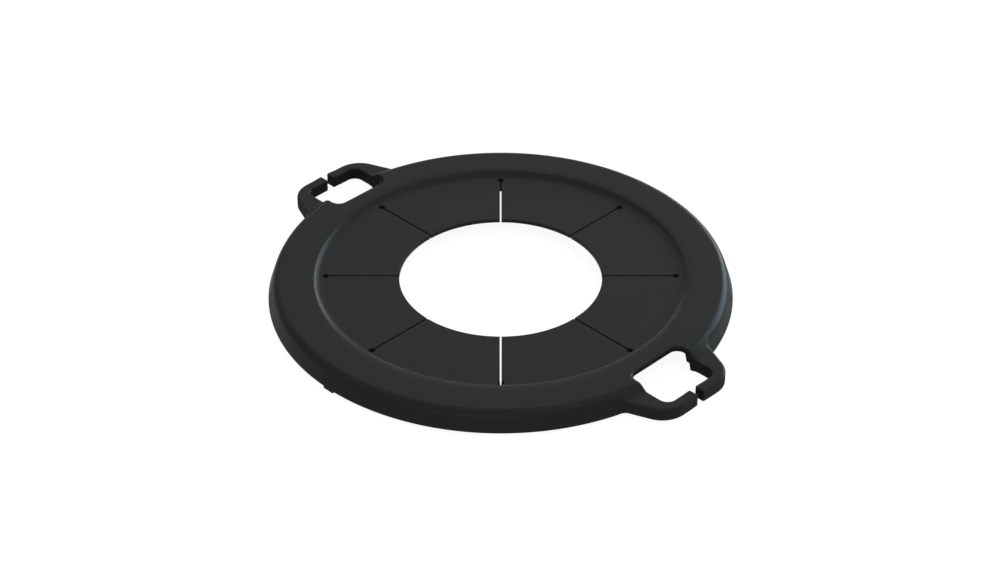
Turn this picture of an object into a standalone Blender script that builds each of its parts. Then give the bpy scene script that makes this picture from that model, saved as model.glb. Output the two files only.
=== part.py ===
"""Slit flange collar with two split strap loops, a single flexible black moulding.

Metres, +Z up. The collar lies on the plane z = 0, centred on the pipe axis, with its loops along X.
A raised hollow rim carries a thin membrane. Radial slits part the membrane into flaps, which bend at the
chord between two relief holes, and a split in each loop's outer bar leaves two hooked arms.
"""

from math import acos, asin, atan, atan2, cos, hypot, pi, radians, sin, sqrt, tan

import bmesh
import bpy

MM = 0.001

# Rim, from the outside inwards
RIM_DIAMETER = 174.6 * MM
CREST_HEIGHT = 8.55 * MM
CREST_WIDTH = 10.4 * MM
CREST_WALL = 2.0 * MM
SHOULDER_RUN = 4.9 * MM
SHOULDER_RADIUS = 3.4 * MM
STEP_WIDTH = 5.5 * MM
STEP_RISE = 1.85 * MM
STEP_WALL = 1.0 * MM

# Foot of the outer wall, with the ledge inside it
FOOT_HEIGHT = 1.2 * MM
LIP_HEIGHT = 0.65 * MM
LIP_FLAT = 0.9 * MM
FOOT_WALL = 2.5 * MM
LEDGE_HEIGHT = 3.4 * MM
LEDGE_WIDTH = 1.45 * MM
WALL_DRAFT = radians(12)

# Rib under the step, which the collar rests on
RIB_INSET = 1.2 * MM
RIB_WALL = 1.6 * MM
RIB_DRAFT = radians(2)

# Feet that hold the outer wall level
FOOT_LUG_WIDTH = 5.0 * MM
FOOT_LUG_DEPTH = 2.2 * MM
LUG_SETBACK = 0.1 * MM
LUG_BITE = 1.0 * MM

# Membrane
PIPE_HOLE_DIAMETER = 76.2 * MM
FLAP_COUNT = 8
FLAP_THICKNESS = 1.6 * MM
SLIT_WIDTH = 0.8 * MM
SLIT_END_INSET = 0.75 * MM
HINGE_GAP = 0.3 * MM
HINGE_FLAT = 0.03 * MM
RELIEF_EASE = 0.05 * MM

# Strap loops
LOOP_REACH = 12.7 * MM
LOOP_FLOOR = 1.25 * MM
LOOP_THICKNESS = 4.6 * MM
LOOP_BAR_WIDTH = 4.0 * MM
LOOP_SPLIT = 3.7 * MM
LOOP_SIDE_WIDTH = 5.8 * MM
LOOP_FLANK_ANGLE = radians(22)
LOOP_OUTER_CORNER = 10.8 * MM
STRAP_SLOT_WIDTH = 26.1 * MM
STRAP_SLOT_BITE = 10.3 * MM
STRAP_SLOT_CORNER = 3.6 * MM
LOOP_EDGE_ROUND = 0.6 * MM

# Root of each loop arm
ARM_ROOT_SETBACK = 0.8 * MM
ARM_ROOT_RADIUS = 4.2 * MM
ROOT_BLEND_RADIUS = 3.8 * MM
ROOT_FILLET_RADIUS = 3.0 * MM
ROOT_BITE = 2.0 * MM
BLEND_BITE = 0.12 * MM
FILLET_BITE = 0.3 * MM

# How far a cutter or a joined block runs past what it meets
OVERRUN = 1.0 * MM

# Facets
RIM_STEPS = 96
ARC_STEPS = 5
ROOT_STEPS = 9
EDGE_STEPS = 2
ROUND_PROFILE = 0.5
SAME_PLACE = 0.001 * MM
SMOOTH_ANGLE = radians(35)

# Satin black rubber
RIM_COLOUR = (0.026, 0.027, 0.027)
FLAP_COLOUR = (0.024, 0.025, 0.025)
LOOP_COLOUR = (0.025, 0.025, 0.025)
RUBBER_ROUGHNESS = 0.5

# Levels and radii that follow from the sizes above
rim_radius = RIM_DIAMETER / 2
crest_edge = rim_radius - SHOULDER_RUN
step_top = crest_edge - CREST_WIDTH
step_base = step_top - STEP_WIDTH
flap_top = CREST_HEIGHT - STEP_RISE
flap_floor = flap_top - FLAP_THICKNESS
hinge_height = flap_top - FLAP_THICKNESS / 2

half_sector = pi / FLAP_COUNT
slit_end = step_base - SLIT_END_INSET
hinge_radius = slit_end * cos(half_sector)
hinge_half_length = slit_end * sin(half_sector)
flap_root_radius = FLAP_THICKNESS / 2
relief_radius = flap_root_radius + HINGE_GAP + RELIEF_EASE

loop_tip = rim_radius + LOOP_REACH
loop_top = LOOP_FLOOR + LOOP_THICKNESS
bar_inside = loop_tip - LOOP_BAR_WIDTH
slot_half = STRAP_SLOT_WIDTH / 2
slot_chord = rim_radius - STRAP_SLOT_BITE


def arc(centre, radius, start, end, steps):
    """Points on a circle from one angle to another, both ends included."""
    turn = (end - start) / steps
    angles = [start + turn * step for step in range(steps + 1)]
    return [(centre[0] + radius * cos(a), centre[1] + radius * sin(a)) for a in angles]


def where_line_meets_circle(point, direction, centre, radius):
    """The last point where a line, followed along its unit direction, leaves a circle."""
    dx = point[0] - centre[0]
    dy = point[1] - centre[1]
    middle = -(dx * direction[0] + dy * direction[1])
    reach = sqrt(radius**2 - (dx**2 + dy**2 - middle**2))
    along = middle + reach
    return point[0] + along * direction[0], point[1] + along * direction[1]


def angle_round(centre, point):
    return atan2(point[1] - centre[1], point[0] - centre[0])


def moulding(name, colour):
    """Satin black moulded rubber."""
    material = bpy.data.materials.new(name)
    material.use_nodes = True
    shader = material.node_tree.nodes["Principled BSDF"]
    shader.inputs["Base Color"].default_value = (*colour, 1)
    shader.inputs["Roughness"].default_value = RUBBER_ROUGHNESS
    shader.inputs["Metallic"].default_value = 0
    return material


def add_object(name, mesh_builder, material=None):
    """Turns a finished bmesh into a named object, shaded smooth except at its edges."""
    bmesh.ops.recalc_face_normals(mesh_builder, faces=mesh_builder.faces)
    mesh = bpy.data.meshes.new(name)
    mesh_builder.to_mesh(mesh)
    mesh_builder.free()
    mesh.shade_smooth()
    mesh.set_sharp_from_angle(angle=SMOOTH_ANGLE)
    if material:
        mesh.materials.append(material)
    thing = bpy.data.objects.new(name, mesh)
    bpy.context.scene.collection.objects.link(thing)
    return thing


def as_helper(thing):
    """A cutter or a joined block: it shapes its neighbour and isn't a piece of its own."""
    thing.hide_render = True
    thing.display_type = "WIRE"
    return thing


def pulled(points, way):
    """A flat outline of points in space, pulled out into a solid."""
    mesh_builder = bmesh.new()
    outline = mesh_builder.faces.new([mesh_builder.verts.new(point) for point in points])
    copied = bmesh.ops.extrude_face_region(mesh_builder, geom=[outline])
    moved = [item for item in copied["geom"] if isinstance(item, bmesh.types.BMVert)]
    bmesh.ops.translate(mesh_builder, verts=moved, vec=way)
    return mesh_builder


def prism(outline, floor, top):
    """A plan outline pulled up from one level to another."""
    return pulled([(x, y, floor) for x, y in outline], (0, 0, top - floor))


def loft(lower, upper, floor, top):
    """A solid between two plan outlines that have their points in the same order."""
    mesh_builder = bmesh.new()
    below = [mesh_builder.verts.new((x, y, floor)) for x, y in lower]
    above = [mesh_builder.verts.new((x, y, top)) for x, y in upper]
    mesh_builder.faces.new(below)
    mesh_builder.faces.new(above)
    for step in range(len(below)):
        mesh_builder.faces.new((below[step - 1], below[step], above[step]))
        mesh_builder.faces.new((below[step - 1], above[step], above[step - 1]))
    return mesh_builder


def turned(section):
    """A closed section of (radius, height) points, turned once round the Z axis."""
    mesh_builder = bmesh.new()
    ring = [mesh_builder.verts.new((radius, 0, height)) for radius, height in section]
    closing = zip(ring, ring[1:] + ring[:1])
    edges = [mesh_builder.edges.new(pair) for pair in closing]
    bmesh.ops.spin(
        mesh_builder,
        geom=ring + edges,
        cent=(0, 0, 0),
        axis=(0, 0, 1),
        angle=2 * pi,
        steps=RIM_STEPS,
        use_merge=True,
    )
    return mesh_builder


def combine(thing, helpers, operation):
    """Joins helpers to a piece, or cuts them out of it, in one go."""
    group = bpy.data.collections.new(f"{thing.name} {operation.lower()}")
    for helper in helpers:
        group.objects.link(helper)
    modifier = thing.modifiers.new(group.name, "BOOLEAN")
    modifier.operation = operation
    modifier.solver = "EXACT"
    modifier.operand_type = "COLLECTION"
    modifier.collection = group


def step_curve():
    """The soft step from the membrane up to the crest: a hollow arc, then a round one."""
    turn = 2 * atan(STEP_RISE / STEP_WIDTH)
    radius = STEP_WIDTH / (2 * sin(turn))
    hollow = arc((step_base, flap_top + radius), radius, -pi / 2, turn - pi / 2, ARC_STEPS)
    crown = arc((step_top, CREST_HEIGHT - radius), radius, turn + pi / 2, pi / 2, ARC_STEPS)
    return hollow + crown[1:]


def wall_lean():
    """How far the outer wall leans in from upright, so that it runs on from the shoulder to its foot."""
    centre = (crest_edge, CREST_HEIGHT - SHOULDER_RADIUS)
    reach = hypot(rim_radius - centre[0], FOOT_HEIGHT - centre[1])
    return angle_round(centre, (rim_radius, FOOT_HEIGHT)) + acos(SHOULDER_RADIUS / reach)


def shoulder_curve():
    """The rounded crest edge, turning until it runs straight into the outer wall."""
    centre = (crest_edge, CREST_HEIGHT - SHOULDER_RADIUS)
    return arc(centre, SHOULDER_RADIUS, pi / 2, wall_lean(), ARC_STEPS)


def rim_section():
    """Half the rim's cross section, from the membrane's edge over the crest and back underneath."""
    web_edge = hinge_radius
    ceiling = CREST_HEIGHT - CREST_WALL
    foot_inside = rim_radius - FOOT_WALL
    lip_outside = foot_inside + LIP_FLAT
    ledge_outside = foot_inside - (LEDGE_HEIGHT - LIP_HEIGHT) * tan(WALL_DRAFT)
    ledge_inside = ledge_outside - LEDGE_WIDTH
    ceiling_edge = ledge_inside - (ceiling - LEDGE_HEIGHT) * tan(WALL_DRAFT)
    rib_inside = step_base + RIB_INSET
    rib_outside = rib_inside + RIB_WALL
    rib_shoulder = flap_top - STEP_WALL
    return [
        (web_edge, flap_top),
        *step_curve(),
        *shoulder_curve(),
        (rim_radius, FOOT_HEIGHT),
        (lip_outside, LIP_HEIGHT),
        (foot_inside, LIP_HEIGHT),
        (ledge_outside, LEDGE_HEIGHT),
        (ledge_inside, LEDGE_HEIGHT),
        (ceiling_edge, ceiling),
        (step_top, ceiling),
        (rib_outside + rib_shoulder * tan(RIB_DRAFT), rib_shoulder),
        (rib_outside, 0),
        (rib_inside, 0),
        (rib_inside - flap_floor * tan(RIB_DRAFT), flap_floor),
        (web_edge, flap_floor),
    ]


def membrane_opening():
    """Plan of the rim's inner edge: a straight chord behind each flap, with round relief holes between."""
    chord_gap = flap_root_radius + HINGE_GAP
    swing = half_sector + acos(chord_gap / relief_radius)
    outline = []
    for slit in range(FLAP_COUNT):
        middle = 2 * half_sector * slit
        centre = (slit_end * cos(middle), slit_end * sin(middle))
        outline += arc(centre, relief_radius, middle - swing, middle + swing, ROOT_STEPS)
    return outline


def flap_outline():
    """Plan of one flap about its bending line, with X pointing away from the pipe."""
    slit_half = SLIT_WIDTH / 2
    hole_radius = PIPE_HOLE_DIAMETER / 2
    lean = half_sector - asin(slit_half / hole_radius)
    into_relief = half_sector + pi + asin(slit_half / relief_radius)
    out_of_relief = 2 * pi - acos(flap_root_radius / relief_radius)
    relief = arc((0, hinge_half_length), relief_radius, out_of_relief, into_relief, ROOT_STEPS)
    hole = arc((-hinge_radius, 0), hole_radius, lean, -lean, ROOT_STEPS)
    mirrored = [(x, -y) for x, y in reversed(relief)]
    return relief + hole + mirrored


def flap_mesh():
    """One flap, with its outer edge rounded about the bending line."""
    half = FLAP_THICKNESS / 2
    mesh_builder = prism(flap_outline(), -half, half)
    root_edges = [
        edge
        for edge in mesh_builder.edges
        if all(abs(end.co.x - flap_root_radius) < SAME_PLACE for end in edge.verts)
        and edge.verts[0].co.z * edge.verts[1].co.z > 0
    ]
    bmesh.ops.bevel(
        mesh_builder,
        geom=root_edges,
        offset=flap_root_radius - HINGE_FLAT / 2,
        offset_type="OFFSET",
        segments=ARC_STEPS,
        profile=ROUND_PROFILE,
        affect="EDGES",
    )
    return mesh_builder


def flank_line():
    """Where a loop's outer corner ends and its straight flank starts, and the way that the flank runs in."""
    corner_y = slot_half + LOOP_SIDE_WIDTH - LOOP_OUTER_CORNER * cos(LOOP_FLANK_ANGLE)
    corner = (loop_tip - LOOP_OUTER_CORNER, corner_y)
    start_x = corner[0] + LOOP_OUTER_CORNER * sin(LOOP_FLANK_ANGLE)
    start_y = corner[1] + LOOP_OUTER_CORNER * cos(LOOP_FLANK_ANGLE)
    inwards = (-cos(LOOP_FLANK_ANGLE), sin(LOOP_FLANK_ANGLE))
    return corner, (start_x, start_y), inwards


def arm_pivot():
    """Plan position of the upright line that a loop arm turns about: half way across its root."""
    _, start, inwards = flank_line()
    pivot_x = rim_radius + ARM_ROOT_SETBACK + ARM_ROOT_RADIUS
    flank_y = start[1] + (pivot_x - start[0]) * inwards[1] / inwards[0]
    return pivot_x, (slot_half + flank_y) / 2


def arm_outline():
    """Plan of the arm on the +Y side of the +X loop, from its split end round to its rounded root."""
    corner, start, inwards = flank_line()
    pivot = arm_pivot()
    outside = where_line_meets_circle(start, inwards, pivot, ARM_ROOT_RADIUS)
    inside = where_line_meets_circle((bar_inside, slot_half), (-1, 0), pivot, ARM_ROOT_RADIUS)
    root = arc(
        pivot,
        ARM_ROOT_RADIUS,
        angle_round(pivot, outside),
        angle_round(pivot, inside) + 2 * pi,
        ROOT_STEPS,
    )
    slot_corner = (bar_inside - STRAP_SLOT_CORNER, slot_half - STRAP_SLOT_CORNER)
    return [
        (bar_inside, LOOP_SPLIT / 2),
        (loop_tip, LOOP_SPLIT / 2),
        *arc(corner, LOOP_OUTER_CORNER, 0, pi / 2 - LOOP_FLANK_ANGLE, ROOT_STEPS),
        *root,
        *arc(slot_corner, STRAP_SLOT_CORNER, pi / 2, 0, ARC_STEPS),
    ]


def arm_mesh(side):
    """A loop arm about its own pivot, on the +Y side (1) or the -Y side (-1)."""
    pivot = arm_pivot()
    outline = [(x - pivot[0], side * (y - pivot[1])) for x, y in arm_outline()]
    return prism(outline, LOOP_FLOOR, loop_top)


def root_outline(level):
    """Plan, at one level, of the root that a loop arm turns on, from inside the outer wall to its seat.

    A fillet sweeps it into the outer wall, and follows the wall's lean.
    """
    _, start, inwards = flank_line()
    pivot = arm_pivot()
    seat_radius = ARM_ROOT_RADIUS + HINGE_GAP
    outwards = (-inwards[0], -inwards[1])
    across = (inwards[1], -inwards[0])
    offset_line = (
        start[0] + across[0] * ROOT_FILLET_RADIUS,
        start[1] + across[1] * ROOT_FILLET_RADIUS,
    )
    wall_radius = rim_radius - (level - FOOT_HEIGHT) * tan(wall_lean())
    fillet_reach = wall_radius - FILLET_BITE + ROOT_FILLET_RADIUS
    fillet = where_line_meets_circle(offset_line, outwards, (0, 0), fillet_reach)
    at_rim = angle_round(fillet, (0, 0))
    at_flank = angle_round((0, 0), (-across[0], -across[1]))
    seat_outside = where_line_meets_circle(start, inwards, pivot, seat_radius)
    slot_side = (bar_inside, slot_half - OVERRUN)
    seat_inside = where_line_meets_circle(slot_side, (-1, 0), pivot, seat_radius)
    seat = arc(
        pivot,
        seat_radius,
        angle_round(pivot, seat_outside),
        angle_round(pivot, seat_inside) + 2 * pi,
        ROOT_STEPS,
    )
    within = wall_radius - ROOT_BITE
    at_slot = asin((slot_half - OVERRUN) / within)
    past_fillet = angle_round((0, 0), fillet)
    return [
        *seat,
        *arc((0, 0), within, at_slot, past_fillet, ARC_STEPS),
        *arc(fillet, ROOT_FILLET_RADIUS, at_rim, at_flank, ARC_STEPS),
    ]


def root_section():
    """Cross section of the roots: level with the loops, and swept up into the rim's shoulder."""
    shoulder = (crest_edge, CREST_HEIGHT - SHOULDER_RADIUS)
    sunk_radius = SHOULDER_RADIUS - BLEND_BITE
    blend_level = loop_top + ROOT_BLEND_RADIUS
    rise = blend_level - shoulder[1]
    blend_at = shoulder[0] + sqrt((sunk_radius + ROOT_BLEND_RADIUS) ** 2 - rise**2)
    blend = (blend_at, blend_level)
    meets = angle_round(blend, shoulder)
    sweep = arc(blend, ROOT_BLEND_RADIUS, -pi / 2, meets, ARC_STEPS)
    return [
        (step_top, LOOP_FLOOR),
        (loop_tip, LOOP_FLOOR),
        (loop_tip, loop_top),
        *sweep,
        (step_top, sweep[-1][1]),
    ]


def loop_root(name, end, side):
    """The block that carries one loop arm: its plan, cut to the swept cross section."""
    levels = (0, CREST_HEIGHT - OVERRUN)
    lower, upper = ([(end * x, side * y) for x, y in root_outline(level)] for level in levels)
    block = as_helper(add_object(name, loft(lower, upper, *levels)))
    sweep = as_helper(add_object(name + "_sweep", turned(root_section())))
    sweep.rotation_euler.z = pi / RIM_STEPS
    combine(block, [sweep], "INTERSECT")
    return block


def strap_slot(name, end):
    """Cutter for one strap slot, a rounded rectangle through the rim's edge."""
    corner = STRAP_SLOT_CORNER
    low = slot_chord + corner
    high = bar_inside - corner
    width = slot_half - corner
    outline = [
        *arc((high, width), corner, 0, pi / 2, ARC_STEPS),
        *arc((low, width), corner, pi / 2, pi, ARC_STEPS),
        *arc((low, -width), corner, pi, pi * 1.5, ARC_STEPS),
        *arc((high, -width), corner, pi * 1.5, pi * 2, ARC_STEPS),
    ]
    outline = [(end * x, end * y) for x, y in outline]
    return as_helper(add_object(name, prism(outline, -OVERRUN, CREST_HEIGHT + OVERRUN)))


def foot_lug(name, side):
    """A foot under the outer wall, its top buried in the wall."""
    face = rim_radius - LUG_SETBACK
    profile = [
        (face, 0),
        (face, FOOT_HEIGHT + LUG_SETBACK),
        (face - LUG_BITE, FOOT_HEIGHT + LUG_BITE),
        (face - FOOT_LUG_DEPTH, FOOT_HEIGHT + LUG_BITE),
        (face - FOOT_LUG_DEPTH, 0),
    ]
    end_face = [(-FOOT_LUG_WIDTH / 2, side * y, z) for y, z in profile]
    return as_helper(add_object(name, pulled(end_face, (FOOT_LUG_WIDTH, 0, 0))))


def make_rim(collar):
    """The hollow rim: turned, opened for the flaps, joined to the loop roots and cut for the straps."""
    rim = add_object("rim", turned(rim_section()), moulding("rim_rubber", RIM_COLOUR))
    joined = []
    opening = prism(membrane_opening(), flap_floor - OVERRUN, flap_top + OVERRUN)
    cuts = [as_helper(add_object("membrane_opening", opening))]
    for side, side_name in ((-1, "front"), (1, "rear")):
        joined.append(foot_lug(f"{side_name}_foot_lug", side))
        for end, end_name in ((1, "right"), (-1, "left")):
            joined.append(loop_root(f"{end_name}_{side_name}_root", end, side))
    for end, end_name in ((1, "right"), (-1, "left")):
        cuts.append(strap_slot(f"{end_name}_strap_slot", end))
    combine(rim, joined, "UNION")
    combine(rim, cuts, "DIFFERENCE")
    rim.parent = collar


def make_flaps(collar):
    """The ring of flaps, each with its origin on its bending line."""
    pattern = add_object("flap_1", flap_mesh(), moulding("flap_rubber", FLAP_COLOUR))
    for number in range(FLAP_COUNT):
        flap = pattern
        if number:
            flap = bpy.data.objects.new(f"flap_{number + 1}", pattern.data)
            bpy.context.scene.collection.objects.link(flap)
        middle = half_sector * (2 * number + 1)
        flap.location = (hinge_radius * cos(middle), hinge_radius * sin(middle), hinge_height)
        flap.rotation_euler.z = middle
        flap.parent = collar


def make_loop_arms(collar):
    """The four hooked arms, each with its origin on its upright pivot line."""
    material = moulding("loop_rubber", LOOP_COLOUR)
    pivot = arm_pivot()
    for end, end_name in ((1, "right"), (-1, "left")):
        for side, side_name in ((-1, "front"), (1, "rear")):
            arm = add_object(f"{end_name}_loop_{side_name}_arm", arm_mesh(end * side), material)
            arm.location = (end * pivot[0], side * pivot[1], 0)
            arm.rotation_euler.z = 0 if end > 0 else pi
            edges = arm.modifiers.new("rounded edges", "BEVEL")
            edges.width = LOOP_EDGE_ROUND
            edges.segments = EDGE_STEPS
            edges.limit_method = "ANGLE"
            edges.angle_limit = SMOOTH_ANGLE
            arm.parent = collar


def main():
    for thing in list(bpy.data.objects):
        bpy.data.objects.remove(thing)
    collar = bpy.data.objects.new("collar", None)
    bpy.context.scene.collection.objects.link(collar)
    make_rim(collar)
    make_flaps(collar)
    make_loop_arms(collar)


main()
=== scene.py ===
from math import acos, asin, atan2, cos, hypot, pi, radians, sin, sqrt, tan

import bmesh
import bpy
import numpy as np
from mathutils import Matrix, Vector
from mathutils.geometry import delaunay_2d_cdt


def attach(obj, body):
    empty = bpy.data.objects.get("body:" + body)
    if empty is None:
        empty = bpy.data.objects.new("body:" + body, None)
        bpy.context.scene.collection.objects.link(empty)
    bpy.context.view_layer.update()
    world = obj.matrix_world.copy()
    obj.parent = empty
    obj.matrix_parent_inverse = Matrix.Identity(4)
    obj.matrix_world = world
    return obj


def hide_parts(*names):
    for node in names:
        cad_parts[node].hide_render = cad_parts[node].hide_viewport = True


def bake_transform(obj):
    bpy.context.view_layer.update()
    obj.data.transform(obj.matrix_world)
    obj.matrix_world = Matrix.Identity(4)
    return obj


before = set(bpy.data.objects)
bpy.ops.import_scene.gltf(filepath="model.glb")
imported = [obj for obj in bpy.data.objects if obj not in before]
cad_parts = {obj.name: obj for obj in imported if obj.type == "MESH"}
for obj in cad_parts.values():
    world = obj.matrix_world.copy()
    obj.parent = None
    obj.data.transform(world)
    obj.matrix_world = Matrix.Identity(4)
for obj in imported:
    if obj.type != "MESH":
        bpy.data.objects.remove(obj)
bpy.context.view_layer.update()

# Slit flange collar: one black rubber moulding. Sizes are in millimetres until a piece is made, with radii
# from the pipe's axis and heights from the plane that the collar rests on.
MM = 0.001

# Rim
RIM_RADIUS = 87.3
CREST_HEIGHT = 8.55
CREST_EDGE = 82.4
SHOULDER_RADIUS = 3.4
STEP_BASE = 65.95
STEP_SLOPE = radians(38)
STEP_EDGE_RADIUS = 1.6
LIP_RADIUS = 18.0
LIP_SLOPE = radians(9)
FLAP_TOP = 6.7
FLAP_FLOOR = 5.1
FOOT_HEIGHT = 1.2

# Corners of the rim's underside, from the web past the rib and the hollow to the outer wall: radius, height
UNDERSIDE = [
    (66.0, FLAP_FLOOR),
    (67.52, FLAP_FLOOR),
    (67.7, 0.0),
    (69.3, 0.0),
    (69.5, 5.7),
    (72.0, 6.55),
    (82.1, 6.55),
    (82.77, 3.4),
    (84.21, 3.4),
    (84.8, 0.65),
    (85.7, 0.65),
    (RIM_RADIUS, FOOT_HEIGHT),
]
# Radius of the round on each of those corners, apart from the first and the last
UNDERSIDE_EASE = (0.3, 0.35, 0.35, 0.6, 1.5, 0.7, 0.45, 0.35, 0.25, 0.4)

# Membrane
FLAP_COUNT = 8
PIPE_RADIUS = 38.1
SLIT_HALF = 0.31
RELIEF_AT = 65.75
RELIEF_RADIUS = 1.25
RELIEF_FOOT = 0.72
FLAP_EDGE = 0.12
WEB_EDGE = 0.08

# Strap loops
LOOP_TIP = 100.0
LOOP_TOP = 6.05
LOOP_FLOOR = FOOT_HEIGHT
LOOP_BAR = 95.7
LOOP_SPLIT_HALF = 1.4
LOOP_SIDE = 19.15
LOOP_CORNER = 10.8
FLANK_ANGLE = radians(22)
SLOT_HALF = 12.8
SLOT_CHORD = 77.0
SLOT_CORNER = 3.6
LOOP_EDGE = 0.95
SLOT_EDGE = 0.7
CHORD_EDGE = 1.0
LOOP_UNDER_EDGE = 0.3
UNDER_EDGE_RUN = 0.8
TIP_EDGE = 0.5
TIP_CORNER = 0.7
TIP_EASE = 4.0
ROOT_SLOPE = radians(40)
BLEND_RADIUS = 2.0
FILLET_RADIUS = 3.0
ARM_CUT = 88.0

# Feet
FOOT_HALF = 2.5
FOOT_OUT = 87.2
FOOT_IN = 85.0
FOOT_BURIED = 1.25
FOOT_EDGE = 0.25
FOOT_CORNER = 0.3

# Steps along the rim's section and round its turn
EASE_STEPS = 4
HOLLOW_STEPS = 12
STEP_EDGE_STEPS = 7
LIP_STEPS = 6
SHOULDER_STEPS = 11
WALL_ROUND_STEPS = 6
WALL_STEPS = 6
BLEND_STEPS = 12
TURNS = 480
TURN = 2 * pi / TURNS

# Steps along the edges of the loops, the flaps and the feet
EDGE_STEPS = 6
UNDER_EDGE_STEPS = 4
PLAIN_WALL = (0, 0.5, 1)
CHORD_STEPS = 8
SLOT_CORNER_STEPS = 10
CUT_STEPS = 8
FLANK_STEPS = 5
FILLET_STEPS = 12
PATCH_WALL_STEPS = 4
RELIEF_STEPS = 14
HINGE_STEPS = 40
NOTCH_STEPS = 6
HOLE_STEPS = 44
SLIT_STEPS = 26
ARM_SIDE_STEPS = 6
ARM_CORNER_STEPS = 12
BAR_STEPS = 10
TIP_CORNER_STEPS = 5
TIP_STEPS = 5
LOOP_CORNER_STEPS = 24
ARM_FLANK_STEPS = 7
FOOT_CORNER_STEPS = 4

# Rings and grids of points inside the flat and swept faces, and how far they stay off the edges
PATCH_TURNS = 26
PATCH_SPARE_TURNS = 4
PATCH_RING = 74.0
CREST_RINGS = (PATCH_RING, 75.5, 77.0, 78.5, 80.0, 81.2)
LOOP_UNDER_RINGS = (88.0, 88.8, 89.6)
WEB_RING = 67.2
WEB_RINGS = (61.5, 62.5, 63.5, 64.5, 65.5, 66.1, 66.5, 66.9)
FLAP_GRID = (-0.8, 0.8)
FLAP_GRID_IN = range(1, 29)
FLAP_GRID_ASIDE = range(-30, 31)
ARM_GRID = (0.6, 0.8)
ARM_GRID_OUT = range(1, 21)
ARM_GRID_ASIDE = range(2, 28)
FOOT_GRID = (0.5, 0.5)
FOOT_GRID_ASIDE = range(-5, 6)
FOOT_GRID_IN = range(5)
ROOT_MARGIN = 0.3
ROOT_UNDER_MARGIN = 0.12
WEB_MARGIN = 0.2
PLATE_MARGIN = 0.25

# Closeness
SAME_PLACE = 0.001
COLUMN_GAP = 0.06
MITRE_LIMIT = 0.5
LEVEL_HALVINGS = 40
FILL_SNAP = 1e-7
NOTHING = 1e-12
MERGE = 2e-6
SHARP = radians(34)

# Walls that take another finish: those that face into an opening, whose colour carries a painted shade, and
# the outer side walls of the loops, which are more matt
TUCK_RISE = 0.6
TUCK_REACH = 0.2
FOLD_REACH = 0.01
WALL_START = 84.6
WALL_REACH = 2.0
WALL_RISE = 0.62
WALL_EASE = 0.2

# Rubber. Noise scales count per metre.
RUBBER_COLOUR = (0.0184, 0.0168, 0.0153)
RUBBED_COLOUR = (0.034, 0.036, 0.037)
RUBBER_SPECULAR = 0.05
RUBBER_GRAZING = 0.004
SHINE_FADE = (0.45, 0.8)
FINE_GRAIN = 2600
COARSE_GRAIN = 700
CLOUDS = 32
CLOUD_ROUGHNESS = 0.6
WIDE_CLOUDS = 9
MAIN_SHARE = 0.6
OTHER_SHARE = 0.4
PATCH_RANGE = (0.3, 0.7)
FLECK = 0.035
FLECK_MATT = 0.6
GRAIN_STRENGTH = 0.12
GRAIN_DEPTH = 0.00005
RUB_BEND = (0.52, 0.62)
RUB_PATCHES = 210
RUB_RANGE = (0.35, 0.7)
RUB_LEAST = 0.25
RUB_POLISH = 0.06
# Painted shade on the walls that face into openings: how much darker and more matt they are, and how uneven
OPENING_SHADE = 0.6
OPENING_SHADE_MATT = 0.7
OPENING_SHADE_PATCHES = 260
OPENING_SHADE_LEAST = 0.85
WALL_MATT = 0.32
WALL_PATCHES = 320
WALL_LEAST = 0.9

# Each rubber: how matt it is, its grain, its cloudiness and how far its edges are rubbed
RUBBERS = {
    "rim_rubber": (0.29, 1.0, 0.10, 0.5),
    "flap_rubber": (0.30, 1.2, 0.12, 0.3),
    "loop_rubber": (0.29, 1.0, 0.10, 0.5),
}

# Floor, in metres: the paper that lights the collar, and what the camera and reflections see of it
FLOOR_HALF = 3.0
FLOOR_DROP = 0.00002
FLOOR_PAPER = (0.28, 0.28, 0.28, 1)
FLOOR_SEEN = (0.14, 0.14, 0.14, 1)
FLOOR_GLOW = 0.92

# Camera and surroundings, in metres
CAMERA_AZIMUTH = radians(45)
CAMERA_ELEVATION = radians(35.264)
CAMERA_DISTANCE = 0.9194
CAMERA_SENSOR = 36
CAMERA_LENS = 88.08
CAMERA_SHIFT = (-0.00067, -0.00524)
CAMERA_NEAR = 0.01
STUDIO_COLOUR = (0.89, 1.0, 0.97, 1)
STUDIO_STRENGTH = 0.59

# Lamps: degrees to the right of the camera, degrees up, width and height in metres, watts and colour
LAMP_DISTANCE = 1.3
LAMPS = {
    "right_window": (134, 17, (0.9, 0.85), 18.3, (0.63, 0.83, 1.0)),
    "low_back_strip": (157, 6, (0.5, 0.3), 3.0, (0.94, 0.94, 1.0)),
    "far_back_strip": (184, 5, (0.66, 0.24), 1.25, (0.96, 0.96, 1.0)),
    "back_panel": (190, 48, (1.0, 0.8), 1.75, (0.93, 0.92, 1.0)),
    "top_panel": (60, 62, (0.9, 0.9), 3.2, (0.87, 1.0, 0.88)),
    "front_fill": (-10, 20, (1.1, 0.6), 3.95, (1.0, 0.84, 0.81)),
}


def arc(centre, radius, start, end, steps):
    """Points on a circle from one angle to another, both ends included."""
    angles = [start + (end - start) * step / steps for step in range(steps + 1)]
    return [(centre[0] + radius * cos(a), centre[1] + radius * sin(a)) for a in angles]


def line(start, end, steps):
    """Points from one place to another, both ends included."""
    shares = [step / steps for step in range(steps + 1)]
    return [tuple(a + (b - a) * share for a, b in zip(start, end)) for share in shares]


def grid(corner, gaps, columns, rows):
    """Points on a grid, column by column."""
    return [(corner[0] + gaps[0] * column, corner[1] + gaps[1] * row) for column in columns for row in rows]


def on_ring(radius, turn, level):
    """A point on a ring about the pipe, so many turns on from the middle of the right loop."""
    return radius * cos(TURN * turn), radius * sin(TURN * turn), level


def smooth(share):
    """A share from 0 to 1 that eases in and out."""
    share = min(max(share, 0.0), 1.0)
    return share * share * (3 - 2 * share)


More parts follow.
